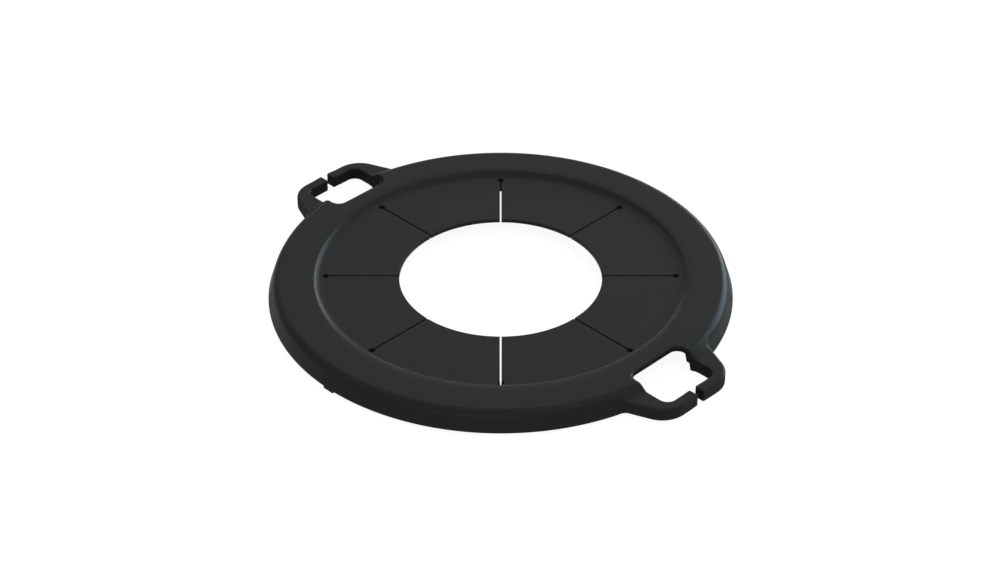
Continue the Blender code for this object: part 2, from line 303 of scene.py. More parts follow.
def eased(points, radii):
    """A line of corners with each corner between its ends rounded."""
    rounded = [points[0]]
    for before, corner, after, radius in zip(points, points[1:], points[2:], radii):
        back = (Vector(before) - Vector(corner)).normalized()
        onward = (Vector(after) - Vector(corner)).normalized()
        half = acos(back.dot(onward)) / 2
        centre = Vector(corner) + (back + onward).normalized() * radius / sin(half)
        reach = radius / tan(half)
        start = Vector(corner) + back * reach - centre
        end = Vector(corner) + onward * reach - centre
        start_angle = atan2(start.y, start.x)
        sweep = (atan2(end.y, end.x) - start_angle + pi) % (2 * pi) - pi
        rounded += arc(centre, radius, start_angle, start_angle + sweep, EASE_STEPS)
    return rounded + [points[-1]]


# The rim's section: its top, its outer wall and its underside

lip_drop = LIP_RADIUS * (1 - cos(LIP_SLOPE))
edge_drop = STEP_EDGE_RADIUS * (cos(LIP_SLOPE) - cos(STEP_SLOPE))
step_radius = (CREST_HEIGHT - FLAP_TOP - lip_drop - edge_drop) / (1 - cos(STEP_SLOPE))
step_edge = STEP_BASE + (step_radius + STEP_EDGE_RADIUS) * sin(STEP_SLOPE)
step_edge_level = FLAP_TOP + step_radius - (step_radius + STEP_EDGE_RADIUS) * cos(STEP_SLOPE)
step_middle = STEP_BASE + step_radius * sin(STEP_SLOPE)
lip_inside = step_edge - STEP_EDGE_RADIUS * sin(LIP_SLOPE)
lip_outside = lip_inside + LIP_RADIUS * sin(LIP_SLOPE)
shoulder_level = CREST_HEIGHT - SHOULDER_RADIUS
shoulder = (CREST_EDGE, shoulder_level)
wall_run = RIM_RADIUS - CREST_EDGE
wall_drop = FOOT_HEIGHT - shoulder_level
wall_lean = atan2(wall_drop, wall_run) + acos(SHOULDER_RADIUS / hypot(wall_run, wall_drop))
wall_top = (
    CREST_EDGE + SHOULDER_RADIUS * cos(wall_lean),
    shoulder_level + SHOULDER_RADIUS * sin(wall_lean),
)
meet_radius = CREST_EDGE + SHOULDER_RADIUS * sin(ROOT_SLOPE)
meet_level = shoulder_level + SHOULDER_RADIUS * cos(ROOT_SLOPE)
ramp_drop = meet_level - LOOP_TOP - BLEND_RADIUS * (1 - cos(ROOT_SLOPE))
ramp_foot = meet_radius + ramp_drop / tan(ROOT_SLOPE)
blend_at = ramp_foot + BLEND_RADIUS * sin(ROOT_SLOPE)
blend_run = blend_at - meet_radius
underside = np.array(eased(UNDERSIDE, UNDERSIDE_EASE))


def rim_top(radius):
    """Height of the rim's top and outer wall at a radius."""
    if radius <= STEP_BASE:
        return FLAP_TOP
    if radius <= step_middle:
        return FLAP_TOP + step_radius - sqrt(step_radius**2 - (radius - STEP_BASE) ** 2)
    if radius <= lip_inside:
        return step_edge_level + sqrt(STEP_EDGE_RADIUS**2 - (step_edge - radius) ** 2)
    if radius <= lip_outside:
        return CREST_HEIGHT - LIP_RADIUS + sqrt(LIP_RADIUS**2 - (lip_outside - radius) ** 2)
    if radius <= CREST_EDGE:
        return CREST_HEIGHT
    if radius <= wall_top[0]:
        return shoulder_level + sqrt(SHOULDER_RADIUS**2 - (radius - CREST_EDGE) ** 2)
    return FOOT_HEIGHT + (RIM_RADIUS - radius) / tan(wall_lean)


def loop_top(radius):
    """Height of the top where a loop leaves the rim: the shoulder runs down a short ramp into the loop."""
    if radius <= meet_radius:
        return rim_top(radius)
    if radius <= ramp_foot:
        return meet_level - (radius - meet_radius) * tan(ROOT_SLOPE)
    if radius <= blend_at:
        return LOOP_TOP + BLEND_RADIUS - sqrt(BLEND_RADIUS**2 - (blend_at - radius) ** 2)
    return LOOP_TOP


def wall_radius(level):
    """Radius of the outer wall at a height."""
    if level >= wall_top[1]:
        return CREST_EDGE + sqrt(SHOULDER_RADIUS**2 - (level - shoulder_level) ** 2)
    return RIM_RADIUS - (level - FOOT_HEIGHT) * tan(wall_lean)


def rim_under(radius):
    """Height of the underside at a radius."""
    return float(np.interp(radius, underside[:, 0], underside[:, 1]))


def top_rows():
    """Rings over the top, from the web to where the shoulder meets the loops: radius and height."""
    first = asin((WEB_RING - STEP_BASE) / step_radius)
    hollow = (STEP_BASE, FLAP_TOP + step_radius)
    rows = arc(hollow, step_radius, first - pi / 2, STEP_SLOPE - pi / 2, HOLLOW_STEPS)
    edge = (step_edge, step_edge_level)
    rows += arc(edge, STEP_EDGE_RADIUS, STEP_SLOPE + pi / 2, LIP_SLOPE + pi / 2, STEP_EDGE_STEPS)[1:]
    lip = (lip_outside, CREST_HEIGHT - LIP_RADIUS)
    rows += arc(lip, LIP_RADIUS, LIP_SLOPE + pi / 2, pi / 2, LIP_STEPS)[1:]
    rows += [(radius, CREST_HEIGHT) for radius in CREST_RINGS]
    rows += arc(shoulder, SHOULDER_RADIUS, pi / 2, pi / 2 - ROOT_SLOPE, SHOULDER_STEPS)
    return rows


def wall_rows():
    """Rings down the outer wall, from where the shoulder meets the loops to the foot: radius and height."""
    rows = arc(shoulder, SHOULDER_RADIUS, pi / 2 - ROOT_SLOPE, wall_lean, WALL_ROUND_STEPS)
    return rows + line(wall_top, (RIM_RADIUS, FOOT_HEIGHT), WALL_STEPS)[1:]


def under_rows():
    """Rings back underneath, from the foot to the web: radius and height."""
    radii = [radius for radius in underside[:, 0] if radius > WEB_RING] + [WEB_RING, PATCH_RING]
    return [(radius, rim_under(radius)) for radius in sorted(radii, reverse=True)]


TOP_ROWS = top_rows()
WALL_ROWS = wall_rows()
UNDER_ROWS = under_rows()
BLEND_RADII = [meet_radius + blend_run * step / BLEND_STEPS for step in range(BLEND_STEPS + 1)]
WALL_SHARES = [(meet_level - level) / (meet_level - FOOT_HEIGHT) for _, level in WALL_ROWS]


class Moulding:
    """Points and faces of one piece."""

    def __init__(self):
        self.points = []
        self.faces = []

    def add(self, points, faces):
        """More points, and faces that count from the first of them."""
        first = len(self.points)
        self.points += [tuple(point) for point in points]
        self.faces += [[first + corner for corner in face] for face in faces]

    def add_columns(self, columns):
        """A skin over columns of points that stand side by side."""
        height = len(columns[0])
        points = [point for column in columns for point in column]
        faces = []
        for left in range(len(columns) - 1):
            for row in range(height - 1):
                at = left * height + row
                faces.append((at, at + height, at + height + 1, at + 1))
        self.add(points, faces)

    def add_fill(self, loop, inside):
        """Triangles over an outline, through the points inside it."""
        points = loop + inside
        plan = [Vector(point[:2]) for point in points]
        found = delaunay_2d_cdt(plan, [], [list(range(len(loop)))], 1, FILL_SNAP)
        self.add([points[sources[0]] for sources in found[3]], found[2])

    def add_copy(self, other, place):
        """Another moulding, put in its place."""
        self.add([place(point) for point in other.points], other.faces)


def turned_rim():
    """The rim all round, apart from where the loops grow out of it."""
    section = TOP_ROWS + WALL_ROWS[1:] + UNDER_ROWS[1:]
    moulding = Moulding()
    points = [on_ring(radius, turn, level) for radius, level in section for turn in range(TURNS)]
    faces = []
    for row in range(len(section) - 1):
        outer = min(section[row][0], section[row + 1][0]) > PATCH_RING - SAME_PLACE
        for turn in range(TURNS):
            from_loop = (turn + PATCH_TURNS) % (TURNS // 2)
            if outer and from_loop < 2 * PATCH_TURNS:
                continue
            onward = (turn + 1) % TURNS
            at = row * TURNS
            faces.append((at + turn, at + onward, at + TURNS + onward, at + TURNS + turn))
    moulding.add(points, faces)
    return moulding


def inside_loop(points, loop, margin):
    """Those of the points that lie inside a closed outline, clear of it by a margin."""
    spots = np.array([point[:2] for point in points])
    start = np.array([point[:2] for point in loop])
    end = np.roll(start, -1, axis=0)
    way = end - start
    apart = spots[:, None, :] - start[None, :, :]
    share = np.clip((apart * way).sum(2) / np.maximum((way**2).sum(1), NOTHING), 0, 1)
    gap = np.sqrt(((apart - share[..., None] * way) ** 2).sum(2)).min(1)
    above = (start[None, :, 1] > spots[:, None, 1]) != (end[None, :, 1] > spots[:, None, 1])
    rise = np.where(way[:, 1] == 0, NOTHING, way[:, 1])
    crossing = start[None, :, 0] + (spots[:, None, 1] - start[None, :, 1]) * way[:, 0] / rise
    within = (above & (spots[:, None, 0] < crossing)).sum(1) % 2 == 1
    return [point for point, ok in zip(points, within & (gap > margin)) if ok]


def edge_column(plan, inward, top, top_edge, under, under_edge, wall_shares, top_level=None):
    """One column down a moulded edge: over its rounded top, down its wall and under.

    plan gives the edge's place by level, so that a wall can lean. top and under give heights by radius.
    """
    level_at = top(hypot(*plan(LOOP_TOP))) if top_level is None else top_level
    column = []
    for step in range(EDGE_STEPS):
        turn = pi / 2 * step / (EDGE_STEPS - 1)
        setback = top_edge * (1 - sin(turn))
        drop = top_edge * (1 - cos(turn))
        spot = plan(level_at - drop)
        spot = (spot[0] + inward[0] * setback, spot[1] + inward[1] * setback)
        level = top(hypot(*spot)) if top_level is None or setback else level_at
        column.append((*spot, level - drop))
    high = column[-1][2]
    foot = plan(LOOP_FLOOR)
    low = under(hypot(*foot)) + under_edge
    for share in wall_shares[1:]:
        level = high + (low - high) * share
        column.append((*plan(level), level))
    for step in range(1, UNDER_EDGE_STEPS):
        turn = pi / 2 * (1 - step / (UNDER_EDGE_STEPS - 1))
        setback = under_edge * (1 - sin(turn))
        spot = (foot[0] + inward[0] * setback, foot[1] + inward[1] * setback)
        column.append((*spot, under(hypot(*spot)) + under_edge * (1 - cos(turn))))
    return column


def still(spot):
    """A plan that is the same at every level."""
    return lambda level: spot


# The loops' roots: what the rim carries of each loop, up to where the arms are cut off

flank_start = (LOOP_TIP - LOOP_CORNER + LOOP_CORNER * sin(FLANK_ANGLE), LOOP_SIDE)
flank_in = (-cos(FLANK_ANGLE), sin(FLANK_ANGLE))
flank_out = (sin(FLANK_ANGLE), cos(FLANK_ANGLE))
along_cut = (0, -1 / cos(FLANK_ANGLE))
cut_outside = (ARM_CUT, LOOP_SIDE + (flank_start[0] - ARM_CUT) * tan(FLANK_ANGLE))
cut_inside = (ARM_CUT, SLOT_HALF)
CUT_LINE = line(cut_inside, cut_outside, CUT_STEPS)[1:-1]


def fillet_centre(level):
    """Centre of the round that sweeps the outer wall into a loop's flank, at a height."""
    x = flank_start[0] + flank_out[0] * FILLET_RADIUS
    y = flank_start[1] + flank_out[1] * FILLET_RADIUS
    reach = wall_radius(level) + FILLET_RADIUS
    along = x * flank_in[0] + y * flank_in[1]
    step = -along - sqrt(reach**2 - (x**2 + y**2 - along**2))
    return x + step * flank_in[0], y + step * flank_in[1]


def fillet_spot(share):
    """Plan of the fillet by level, from the outer wall (0) to the flank (1)."""

    def plan(level):
        centre = fillet_centre(level)
        at_wall = atan2(-centre[1], -centre[0])
        at_flank = atan2(-flank_out[1], -flank_out[0])
        turn = at_wall + (at_flank - at_wall) * share
        return centre[0] + FILLET_RADIUS * cos(turn), centre[1] + FILLET_RADIUS * sin(turn)

    return plan


def flank_spot(share):
    """Plan of the flank by level, from the fillet (0) to the arm's cut (1)."""

    def plan(level):
        start = fillet_spot(1)(level)
        return tuple(a + (b - a) * share for a, b in zip(start, cut_outside))

    return plan


def wall_spot(share):
    """Plan of the outer wall by level, from the turned rim (0) to the fillet (1)."""

    def plan(level):
        end = fillet_spot(0)(level)
        first = PATCH_TURNS * TURN
        turn = first + (atan2(end[1], end[0]) - first) * share
        radius = wall_radius(level)
        return radius * cos(turn), radius * sin(turn)

    return plan


def edge_level(plan):
    """Height at which a leaning edge comes out through the loop's swept top."""
    low, high = LOOP_TOP, meet_level
    for _ in range(LEVEL_HALVINGS):
        middle = (low + high) / 2
        if loop_top(hypot(*plan(middle))) > middle:
            low = middle
        else:
            high = middle
    return (low + high) / 2


def slot_edge():
    """The strap slot's edge from its middle to the arm's cut: each place and the way into the rubber."""
    middle = (SLOT_CHORD + SLOT_CORNER, SLOT_HALF - SLOT_CORNER)
    slot = [(spot, (-1, 0)) for spot in line((SLOT_CHORD, 0), (SLOT_CHORD, middle[1]), CHORD_STEPS)]
    for spot in arc(middle, SLOT_CORNER, pi, pi / 2, SLOT_CORNER_STEPS)[1:]:
        slot.append((spot, ((spot[0] - middle[0]) / SLOT_CORNER, (spot[1] - middle[1]) / SLOT_CORNER)))
    radii = {round(radius, 3) for radius, _ in TOP_ROWS + UNDER_ROWS}
    radii |= {round(radius, 3) for radius in BLEND_RADII}
    far = [sqrt(radius**2 - SLOT_HALF**2) for radius in sorted(radii) if radius > middle[0]]
    sides = [slot[-1][0][0]]
    for x in far:
        if x - sides[-1] > COLUMN_GAP and ARM_CUT - x > COLUMN_GAP:
            sides.append(x)
    return slot + [((x, SLOT_HALF), (0, 1)) for x in sides[1:]] + [(cut_inside, (0, 1))]


def loop_columns():
    """Columns round the edge of a quarter of the loop's root, from the slot to the turned rim."""
    columns = []

    def add(plan, inward, edge, under_edge, level=None):
        columns.append(edge_column(plan, inward, loop_top, edge, rim_under, under_edge, WALL_SHARES, level))

    under_run = ARM_CUT - RIM_RADIUS + UNDER_EDGE_RUN
    for spot, inward in slot_edge():
        edge = CHORD_EDGE + (SLOT_EDGE - CHORD_EDGE) * smooth((spot[0] - SLOT_CHORD) / SLOT_CORNER)
        under_edge = LOOP_UNDER_EDGE * smooth((spot[0] - RIM_RADIUS + UNDER_EDGE_RUN) / under_run)
        add(still(spot), inward, edge, under_edge)
    for spot in CUT_LINE:
        add(still(spot), (0, 0), 0, 0)
    into_flank = (-flank_out[0], -flank_out[1])
    for step in range(FLANK_STEPS, -1, -1):
        plan = flank_spot(step / FLANK_STEPS)
        inward = along_cut if step == FLANK_STEPS else into_flank
        add(plan, inward, LOOP_EDGE, LOOP_UNDER_EDGE, edge_level(plan))
    for step in range(FILLET_STEPS - 1, 0, -1):
        share = step / FILLET_STEPS
        plan = fillet_spot(share)
        level = edge_level(plan)
        spot = plan(level)
        centre = fillet_centre(level)
        inward = ((spot[0] - centre[0]) / FILLET_RADIUS, (spot[1] - centre[1]) / FILLET_RADIUS)
        add(plan, inward, LOOP_EDGE * smooth(share), LOOP_UNDER_EDGE * smooth(share), level)
    for step in range(PATCH_WALL_STEPS, -1, -1):
        add(wall_spot(step / PATCH_WALL_STEPS), (0, 0), 0, 0, meet_level)
    return columns


def ring_points(radii, height, loop, margin):
    """Points on rings about the pipe, inside the quarter of a loop's root."""
    turns = range(1, PATCH_TURNS + PATCH_SPARE_TURNS)
    points = [on_ring(radius, turn, height(radius)) for radius in radii for turn in turns]
    return inside_loop(points, loop, margin)


def root_joint(rows):
    """The boundary of a loop's root to the turned rim: in along the last turn, then round the inner ring."""
    last = [on_ring(radius, PATCH_TURNS, level) for radius, level in rows if radius > PATCH_RING + SAME_PLACE]
    ring_level = [level for radius, level in rows if abs(radius - PATCH_RING) < SAME_PLACE][0]
    return last + [on_ring(PATCH_RING, turn, ring_level) for turn in range(PATCH_TURNS, -1, -1)]


def loop_root():
    """A quarter of what the loops add to the rim: root, fillet, swept top and half a slot."""
    moulding = Moulding()
    columns = loop_columns()
    moulding.add_columns(columns)
    top_loop = [column[0] for column in columns] + root_joint(list(reversed(TOP_ROWS[:-1])))
    radii = [radius for radius, _ in TOP_ROWS if radius > PATCH_RING] + BLEND_RADII[1:]
    moulding.add_fill(top_loop, ring_points(radii, loop_top, top_loop, ROOT_MARGIN))
    under_loop = [column[-1] for column in columns] + root_joint(UNDER_ROWS[1:])
    radii = [radius for radius, _ in UNDER_ROWS if radius > PATCH_RING] + list(LOOP_UNDER_RINGS)
    moulding.add_fill(under_loop, ring_points(radii, rim_under, under_loop, ROOT_UNDER_MARGIN))
    return moulding


# The web: what the rim carries of the membrane, up to the lines that the flaps bend on

flap_half = pi / FLAP_COUNT
hinge_line = RELIEF_AT * cos(flap_half)
hinge_half = RELIEF_AT * sin(flap_half)


def relief_spot(angle):
    """Plan of a relief hole's wall by level: the hole narrows downwards."""

    def plan(level):
        share = min(max((level - FLAP_FLOOR) / (FLAP_TOP - FLAP_FLOOR), 0), 1)
        radius = RELIEF_FOOT + (RELIEF_RADIUS - RELIEF_FOOT) * share
        return hinge_line + radius * cos(angle), hinge_half + radius * sin(angle)

    return plan


def web_sector():
    """The web behind one flap, between the bending line and the step, with half a relief hole at each end."""
    half = []
    for step in range(RELIEF_STEPS + 1):
        angle = flap_half - (flap_half + pi / 2) * step / RELIEF_STEPS
        plan, inward = relief_spot(angle), (cos(angle), sin(angle))
        half.append(edge_column(plan, inward, rim_top, WEB_EDGE, rim_under, WEB_EDGE, PLAIN_WALL))
    reach = hinge_half - RELIEF_RADIUS
    chord = line((hinge_line, reach), (hinge_line, -reach), HINGE_STEPS)[1:-1]
    fold = [edge_column(still(spot), (0, 0), rim_top, 0, rim_under, 0, PLAIN_WALL) for spot in chord]
    columns = half + fold + [[(x, -y, z) for x, y, z in column] for column in reversed(half)]
    moulding = Moulding()
    moulding.add_columns(columns)
    last_turn = TURNS // FLAP_COUNT // 2
    turns = range(-last_turn, last_turn + 1)
    for row, height in ((0, rim_top), (-1, rim_under)):
        loop = [column[row] for column in columns]
        loop += [on_ring(WEB_RING, turn, height(WEB_RING)) for turn in turns]
        inside = [on_ring(radius, turn, height(radius)) for radius in WEB_RINGS for turn in turns]
        moulding.add_fill(loop, inside_loop(inside, loop, WEB_MARGIN))
    return moulding


def as_is(point):
    """A copy's place: where it was made."""
    return point


def mirrored(across, along):
    """A copy's place: mirrored about the pipe, along X, Y or both."""
    return lambda point: (point[0] * across, point[1] * along, point[2])


def swung(angle):
    """A copy's place: turned about the pipe."""
    return lambda point: (
        point[0] * cos(angle) - point[1] * sin(angle),
        point[0] * sin(angle) + point[1] * cos(angle),
        point[2],
    )


def whole_rim():
    """The turned rim with the roots of both loops and the web behind every flap."""
    moulding = turned_rim()
    root = loop_root()
    for across in (1, -1):
        for along in (1, -1):
            moulding.add_copy(root, mirrored(across, along))
    web = web_sector()
    for flap in range(FLAP_COUNT):
        moulding.add_copy(web, swung(flap_half * (2 * flap + 1)))
    return moulding


# Flat pieces: flaps, loop arms and feet


def inward_of(outline):
    """For each corner of a closed outline, the way into the piece."""
    ways = []
    for before, corner, after in zip(outline[-1:] + outline[:-1], outline, outline[1:] + outline[:1]):
        first = Vector((before[1] - corner[1], corner[0] - before[0])).normalized()
        second = Vector((corner[1] - after[1], after[0] - corner[0])).normalized()
        middle = (first + second).normalized()
        ways.append(tuple(middle / max(middle.dot(first), MITRE_LIMIT)))
    return ways


def plate(edges, top, under, inside):
    """A closed flat piece: edges hold a plan, the way in and the rounding above and below."""
    moulding = Moulding()
    columns = [
        edge_column(plan, inward, top, top_edge, under, under_edge, PLAIN_WALL)
        for plan, inward, top_edge, under_edge in edges
    ]
    moulding.add_columns(columns + columns[:1])
    for row, height in ((0, top), (-1, under)):
        loop = [column[row] for column in columns]
        level = [(*spot, height(hypot(*spot))) for spot in inside]
        moulding.add_fill(loop, inside_loop(level, loop, PLATE_MARGIN))
    return moulding


def across_x(plan):
    """The same plan on the other side of the X axis."""
    return lambda level: (plan(level)[0], -plan(level)[1])


def flap_plate():
    """One flap about the X axis: bending line, relief notches, slit edges and its share of the pipe hole."""
    at_hinge = 1.5 * pi
    at_slit = flap_half + pi + asin(SLIT_HALF / RELIEF_RADIUS)
    turns = [at_hinge + (at_slit - at_hinge) * step / NOTCH_STEPS for step in range(NOTCH_STEPS + 1)]
    notch = [relief_spot(turn)(FLAP_TOP) for turn in turns]
    lean = flap_half - asin(SLIT_HALF / PIPE_RADIUS)
    hole = arc((0, 0), PIPE_RADIUS, lean, -lean, HOLE_STEPS)
    side = line(notch[-1], hole[0], SLIT_STEPS)
    upper = notch + side[1:-1]
    root = line((hinge_line, -notch[0][1]), notch[0], HINGE_STEPS)[1:-1]
    outline = upper + hole + [(x, -y) for x, y in reversed(upper)] + root
    ways = inward_of(outline)
    plans = [still(spot) for spot in outline]
    root_start = len(outline) - len(root)
    for place, turn in enumerate(turns):
        plans[place] = relief_spot(turn)
        plans[root_start - 1 - place] = across_x(relief_spot(turn))
    ways[0] = (0, -1)
    ways[root_start - 1] = (0, 1)
    edges = []
    for place, (plan, way) in enumerate(zip(plans, ways)):
        edge = 0 if place >= root_start else FLAP_EDGE
        edges.append((plan, way, edge, edge))
    inside = grid((hinge_line, 0), FLAP_GRID, FLAP_GRID_IN, FLAP_GRID_ASIDE)
    return plate(edges, lambda radius: FLAP_TOP, lambda radius: FLAP_FLOOR, inside)


def arm_plate():
    """The hooked arm on the +Y side of the +X loop, from its cut to its split end."""
    inner = (LOOP_BAR - SLOT_CORNER, SLOT_HALF - SLOT_CORNER)
    outer = (LOOP_TIP - LOOP_CORNER, LOOP_SIDE - LOOP_CORNER * cos(FLANK_ANGLE))
    tip_in = (LOOP_BAR + TIP_CORNER, LOOP_SPLIT_HALF + TIP_CORNER)
    tip_out = (LOOP_TIP - TIP_CORNER, LOOP_SPLIT_HALF + TIP_CORNER)
    slot_side = line(cut_inside, (inner[0], SLOT_HALF), ARM_SIDE_STEPS)
    inner_corner = arc(inner, SLOT_CORNER, pi / 2, 0, ARM_CORNER_STEPS)
    inner_face = line(inner_corner[-1], (LOOP_BAR, tip_in[1]), BAR_STEPS)
    first_corner = arc(tip_in, TIP_CORNER, pi, 1.5 * pi, TIP_CORNER_STEPS)
    second_corner = arc(tip_out, TIP_CORNER, 1.5 * pi, 2 * pi, TIP_CORNER_STEPS)
    split_face = line(first_corner[-1], second_corner[0], TIP_STEPS)
    outer_face = line((LOOP_TIP, tip_out[1]), (LOOP_TIP, outer[1]), BAR_STEPS)
    outer_corner = arc(outer, LOOP_CORNER, 0, pi / 2 - FLANK_ANGLE, LOOP_CORNER_STEPS)
    flank = line(outer_corner[-1], cut_outside, ARM_FLANK_STEPS)
    outline = slot_side + inner_corner[1:] + inner_face[1:]
    slot_end = len(outline)
    outline += first_corner[1:] + split_face[1:]
    outline += second_corner[1:] + outer_face[1:] + outer_corner[1:] + flank[1:]
    body = len(outline)
    outline += list(reversed(CUT_LINE))
    ways = inward_of(outline)
    ways[0] = (0, 1)
    ways[body - 1] = along_cut
    edges = []
    for place, (spot, way) in enumerate(zip(outline, ways)):
        share = smooth((spot[1] - LOOP_SPLIT_HALF - TIP_CORNER) / TIP_EASE)
        side_edge = SLOT_EDGE if place < slot_end else LOOP_EDGE
        edge = TIP_EDGE + (side_edge - TIP_EDGE) * share
        under_edge = TIP_EDGE + (LOOP_UNDER_EDGE - TIP_EDGE) * share
        if place >= body:
            edge = under_edge = 0
        edges.append((still(spot), way, edge, under_edge))
    inside = grid((ARM_CUT, 0), ARM_GRID, ARM_GRID_OUT, ARM_GRID_ASIDE)
    return plate(edges, loop_top, lambda radius: LOOP_FLOOR, inside)


def foot_plate():
    """A foot under the outer wall, on the -Y side."""
    outline = []
    for x, y, start in (
        (FOOT_HALF, -FOOT_IN, 0),
        (-FOOT_HALF, -FOOT_IN, pi / 2),
        (-FOOT_HALF, -FOOT_OUT, pi),
        (FOOT_HALF, -FOOT_OUT, 1.5 * pi),
    ):
        centre = (x - FOOT_CORNER * (1 if x > 0 else -1), y - FOOT_CORNER * (1 if y == -FOOT_IN else -1))
        outline += arc(centre, FOOT_CORNER, start, start + pi / 2, FOOT_CORNER_STEPS)
    edges = [(still(spot), way, 0, FOOT_EDGE) for spot, way in zip(outline, inward_of(outline))]
    inside = grid((0, -FOOT_OUT), FOOT_GRID, FOOT_GRID_ASIDE, FOOT_GRID_IN)
    return plate(edges, lambda radius: FOOT_BURIED, lambda radius: 0.0, inside)


# Marks on the points of a piece, which the rubber's finish and its painted shade in the openings read


def tucked_away(face):
    """Whether a wall faces into a slit, a relief hole, a strap slot or a loop's split: these walls get a
    painted shade.
    """
    if abs(face.normal.z) > TUCK_RISE:
        return False
    x, y, _ = face.calc_center_median() / MM + face.normal * TUCK_REACH
    if abs(x) > SLOT_CHORD:
        return abs(y) < LOOP_SPLIT_HALF or abs(y) < SLOT_HALF and abs(x) < LOOP_BAR
    off = (atan2(y, x) + flap_half) % (2 * flap_half) - flap_half
    along, aside = hypot(x, y) * cos(off), abs(hypot(x, y) * sin(off))
    if hypot(along - RELIEF_AT, aside) < RELIEF_RADIUS:
        return True
    return aside < SLIT_HALF and PIPE_RADIUS < along < RELIEF_AT


def on_fold(face):
    """Whether a face is the hidden end of a flap or an arm, where it runs on into the rim."""
    x, y, _ = face.calc_center_median() / MM
    off = atan2(y, x) % (2 * flap_half) - flap_half
    return abs(abs(x) - ARM_CUT) < FOLD_REACH or abs(hypot(x, y) * cos(off) - hinge_line) < FOLD_REACH


def tucked_share(vert):
    """How far the walls that meet at a point are tucked away, from 0 to 1."""
    faces = [face for face in vert.link_faces if not on_fold(face)] or vert.link_faces
    return sum(tucked_away(face) for face in faces) / len(faces)


def wall_share(vert):
    """How far a point lies on an outer side wall of a loop, from 0 to 1."""
    off_rim = smooth((abs(vert.co.x) / MM - WALL_START) / WALL_REACH)
    return off_rim * smooth((WALL_RISE - abs(vert.normal.z)) / WALL_EASE)


# Rubber


def node(tree, kind, **settings):
    """A new node with its settings."""
    made = tree.nodes.new(kind)
    for label, value in settings.items():
        setattr(made, label, value)
    return made


def new_group(name, inputs, outputs):
    """A shader group with named values in and out, and the nodes at its two ends."""
    group = bpy.data.node_groups.new(name, "ShaderNodeTree")
    for label, value in inputs.items():
        socket = group.interface.new_socket(name=label, in_out="INPUT", socket_type="NodeSocketFloat")
        socket.default_value = value
    for label in outputs:
        group.interface.new_socket(name=label, in_out="OUTPUT", socket_type="NodeSocketFloat")
    return group, node(group, "NodeGroupInput"), node(group, "NodeGroupOutput")


def work_out(tree, operation, first, second):
    """A Math node on two values, each a socket or a number."""
    made = node(tree, "ShaderNodeMath", operation=operation)
    for socket, value in zip(made.inputs, (first, second)):
        if isinstance(value, (int, float)):
            socket.default_value = value
        else:
            tree.links.new(value, socket)
    return made.outputs[0]


def spread(tree, value, low, high, to_low, to_high):
    """A value carried from one range to another."""
    made = node(tree, "ShaderNodeMapRange")
    tree.links.new(value, made.inputs["Value"])
    for label, number in (("From Min", low), ("From Max", high), ("To Min", to_low), ("To Max", to_high)):
        made.inputs[label].default_value = number
    return made.outputs["Result"]


def noise(tree, where, scale, detail, rough=0.5):
    """A noise from 0 to 1 at a place."""
    made = node(tree, "ShaderNodeTexNoise")
    tree.links.new(where, made.inputs["Vector"])
    made.inputs["Scale"].default_value = scale
    made.inputs["Detail"].default_value = detail
    made.inputs["Roughness"].default_value = rough
    return made.outputs["Fac"]


def two_noises(tree, main, other):
    """Two noises in one, the first the stronger."""
    main = work_out(tree, "MULTIPLY", main, MAIN_SHARE)
    return work_out(tree, "ADD", main, work_out(tree, "MULTIPLY", other, OTHER_SHARE))


def moulded_skin():
    """The skin that a mould leaves on rubber: a fine matt grain, soft cloudy tone and faint dry patches."""
    group, into, out = new_group("moulded skin", {"Grain": 1.0, "Cloud": 1.0}, ("Tone", "Height", "Matt"))
    where = node(group, "ShaderNodeTexCoord").outputs["Object"]
    fine = noise(group, where, FINE_GRAIN, 2)
    coarse = noise(group, where, COARSE_GRAIN, 3)
    cloud = noise(group, where, CLOUDS, 4, CLOUD_ROUGHNESS)
    wide = noise(group, where, WIDE_CLOUDS, 2)
    height = work_out(group, "MULTIPLY", two_noises(group, fine, coarse), into.outputs["Grain"])
    mix = two_noises(group, cloud, wide)
    swing = work_out(group, "MULTIPLY", work_out(group, "SUBTRACT", mix, 0.5), into.outputs["Cloud"])
    fleck = spread(group, fine, *PATCH_RANGE, -FLECK, FLECK)
    tone = work_out(group, "ADD", work_out(group, "ADD", swing, 1.0), fleck)
    matt = work_out(group, "ADD", swing, work_out(group, "MULTIPLY", fleck, FLECK_MATT))
    group.links.new(tone, out.inputs["Tone"])
    group.links.new(height, out.inputs["Height"])
    group.links.new(matt, out.inputs["Matt"])
    return group


def edge_rub():
    """Where handling has rubbed the moulded edges a little paler and smoother."""
    group, into, out = new_group("edge rub", {"Amount": 1.0}, ("Rub",))
    bend = node(group, "ShaderNodeNewGeometry").outputs["Pointiness"]
    edge = spread(group, bend, *RUB_BEND, 0.0, 1.0)
    where = node(group, "ShaderNodeTexCoord").outputs["Object"]
    broken = spread(group, noise(group, where, RUB_PATCHES, 4), *RUB_RANGE, RUB_LEAST, 1.0)
    rub = work_out(group, "MULTIPLY", work_out(group, "MULTIPLY", edge, broken), into.outputs["Amount"])
    group.links.new(rub, out.inputs["Rub"])
    return group


def uneven_mark(group, mark, patches, least, amount):
    """A mark on a piece's points, made a little uneven, in some amount."""
    marked = node(group, "ShaderNodeAttribute", attribute_name=mark).outputs["Fac"]
    where = node(group, "ShaderNodeTexCoord").outputs["Object"]
    patchy = spread(group, noise(group, where, patches, 3), *PATCH_RANGE, least, 1.0)
    return work_out(group, "MULTIPLY", work_out(group, "MULTIPLY", marked, patchy), amount)


